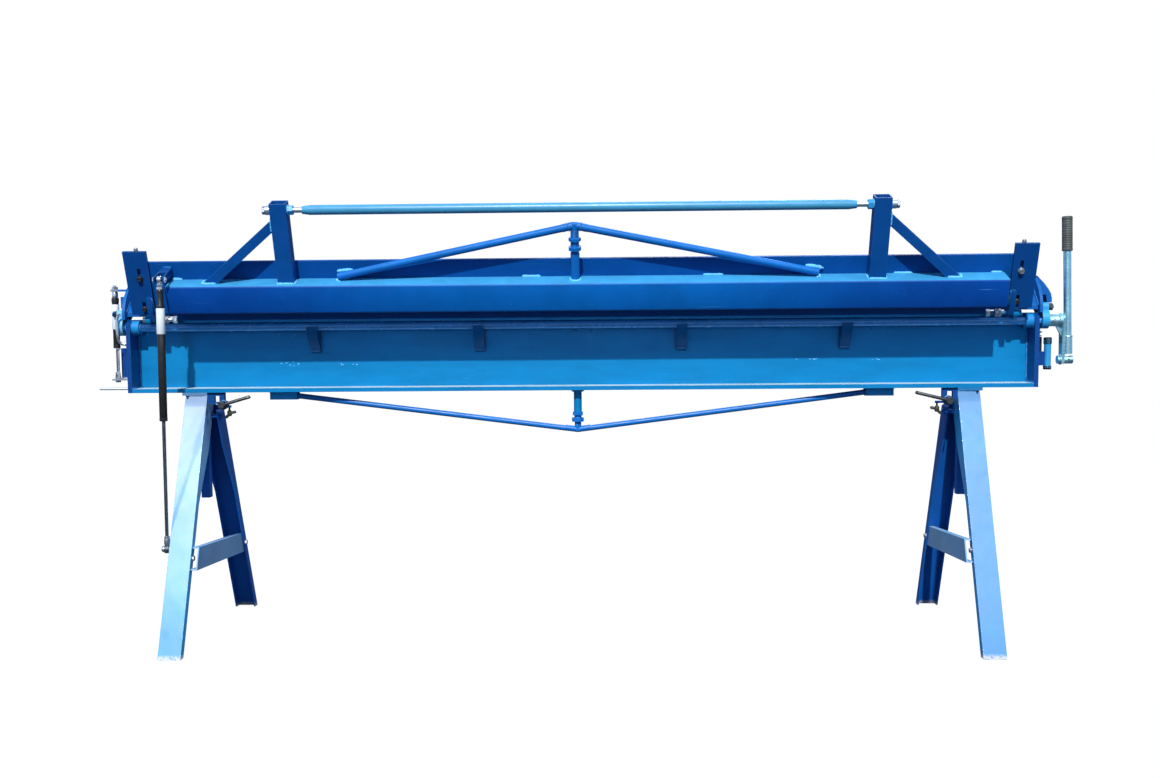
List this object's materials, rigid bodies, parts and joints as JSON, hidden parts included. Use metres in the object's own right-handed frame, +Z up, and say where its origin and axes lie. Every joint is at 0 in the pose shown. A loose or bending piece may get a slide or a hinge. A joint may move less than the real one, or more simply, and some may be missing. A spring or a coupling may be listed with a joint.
{
  "type": "sheet metal brake",
  "caption": "Long sheet metal brake on two trestle stands, with a raised hinged bending leaf, a clamp bar worked by an eccentric lever, truss ties and a gas strut.",
  "frame": {"origin": "on the floor, under the middle of the machine", "axes": "+X along the bending edge to the lever end, -Y towards the operator, +Z up"},
  "size_m": [2.7955, 0.69, 1.2525],
  "materials": {
    "blue_paint": "blue gloss enamel",
    "light_blue_paint": "lighter blue gloss enamel",
    "zinc_steel": "bright zinc plated",
    "lever_zinc": "plated steel tube and hub",
    "dark_steel": "dark oiled steel",
    "black_enamel": "black gloss",
    "grip_rubber": "ribbed black grip"
  },
  "bodies": {
    "base": {"base_channel": "blue_paint", "clamp_lug_left": "blue_paint", "clamp_lug_right": "blue_paint", "end_plate_left": "blue_paint", "end_plate_right": "blue_paint", "front_leg_left": "light_blue_paint", "front_leg_right": "light_blue_paint", "guide_sleeve": "black_enamel", "hinge_pin_left": "zinc_steel", "hinge_pin_right": "zinc_steel", "lift_strut_rod": "zinc_steel", "lower_truss_rod_left": "light_blue_paint", "lower_truss_rod_right": "light_blue_paint", "lower_truss_screw": "light_blue_paint", "rear_leg_left": "blue_paint", "rear_leg_right": "blue_paint", "spreader_left": "blue_paint", "spreader_right": "blue_paint", "spring_housing": "light_blue_paint", "stand_bolt_left": "zinc_steel", "stand_bolt_right": "zinc_steel", "stand_post_left": "blue_paint", "stand_post_right": "blue_paint"},
    "bending_leaf": {"arm_bolt_left": "zinc_steel", "arm_bolt_right": "zinc_steel", "handle_bolt_left": "zinc_steel", "handle_bolt_right": "zinc_steel", "handle_brace_left": "blue_paint", "handle_brace_right": "blue_paint", "handle_tube": "light_blue_paint", "leaf_arm_left": "blue_paint", "leaf_arm_right": "blue_paint", "leaf_box": "blue_paint", "leaf_plate": "blue_paint", "leaf_truss_bar_left": "blue_paint", "leaf_truss_bar_right": "blue_paint", "leaf_truss_screw": "blue_paint", "strut_clevis": "blue_paint", "upright_left": "blue_paint", "upright_right": "blue_paint"},
    "leaf_strut_rod": {"strut_rod": "zinc_steel"},
    "leaf_strut_cylinder": {"strut_cylinder": "black_enamel"},
    "clamp_drive": {"clamp_shaft": "dark_steel", "clamp_lever": "lever_zinc", "lever_grip": "grip_rubber"},
    "clamp_bar": {"clamp_beam": "blue_paint", "clamp_lug_plate_left": "blue_paint", "clamp_lug_plate_right": "blue_paint", "eccentric_link_left": "light_blue_paint", "eccentric_link_right": "light_blue_paint", "guide_rod": "zinc_steel", "lift_strut_cylinder": "black_enamel"},
    "screw_left": {"clamp_screw_left": "dark_steel"},
    "screw_right": {"clamp_screw_right": "dark_steel"},
    "knob_left": {"lock_knob_left": "black_enamel"},
    "knob_right": {"lock_knob_right": "black_enamel"},
    "height_left": {"height_screw_left": "zinc_steel"},
    "height_right": {"height_screw_right": "zinc_steel"}
  },
  "joints": [
    {"name": "leaf_hinge", "type": "hinge", "parent": "base", "child": "bending_leaf", "pos_m": [0, -0.094, 0.93], "axis": [-1, 0, 0], "range_deg": [-70, 20]},
    {"name": "strut_swing", "type": "hinge", "parent": "base", "child": "leaf_strut_rod", "pos_m": [-1.164, -0.206, 0.284], "axis": [-1, 0, 0], "range_deg": [-3, 2]},
    {"name": "strut_slide", "type": "slide", "parent": "leaf_strut_rod", "child": "leaf_strut_cylinder", "axis": [0.0159, -0.0246, 0.9996], "range_m": [-0.196, 0.057]},
    {"name": "lever_turn", "type": "hinge", "parent": "base", "child": "clamp_drive", "pos_m": [0, -0.062, 0.907], "axis": [1, 0, 0], "range_deg": [0, 90]},
    {"name": "clamp_slide", "type": "slide", "parent": "base", "child": "clamp_bar", "axis": [0, 0, 1], "range_m": [-0.0081, 0]},
    {"name": "screw_turn_left", "type": "hinge", "parent": "base", "child": "screw_left", "pos_m": [-1.029, -0.069, 0.683], "axis": [0, 1, 0], "continuous": true},
    {"name": "knob_turn_left", "type": "hinge", "parent": "base", "child": "knob_left", "pos_m": [-1.015, -0.0705, 0.6785], "axis": [0, 0, 1], "continuous": true},
    {"name": "height_turn_left", "type": "hinge", "parent": "bending_leaf", "child": "height_left", "pos_m": [-1.231, -0.17952, 1.12022], "axis": [0, -0.342, 0.9397], "continuous": true},
    {"name": "screw_turn_right", "type": "hinge", "parent": "base", "child": "screw_right", "pos_m": [1.052, -0.069, 0.683], "axis": [0, 1, 0], "continuous": true},
    {"name": "knob_turn_right", "type": "hinge", "parent": "base", "child": "knob_right", "pos_m": [1.023, -0.0705, 0.6785], "axis": [0, 0, 1], "continuous": true},
    {"name": "height_turn_right", "type": "hinge", "parent": "bending_leaf", "child": "height_right", "pos_m": [1.227, -0.17952, 1.12022], "axis": [0, -0.342, 0.9397], "continuous": true}
  ],
  "couplings": [
    {"joint": "strut_swing", "follows": "leaf_hinge", "ratio": 0.03238},
    {"joint": "strut_slide", "follows": "leaf_hinge", "m_per_rad": 0.15891},
    {"joint": "clamp_slide", "follows": "lever_turn", "m_per_rad": -0.00509}
  ]
}
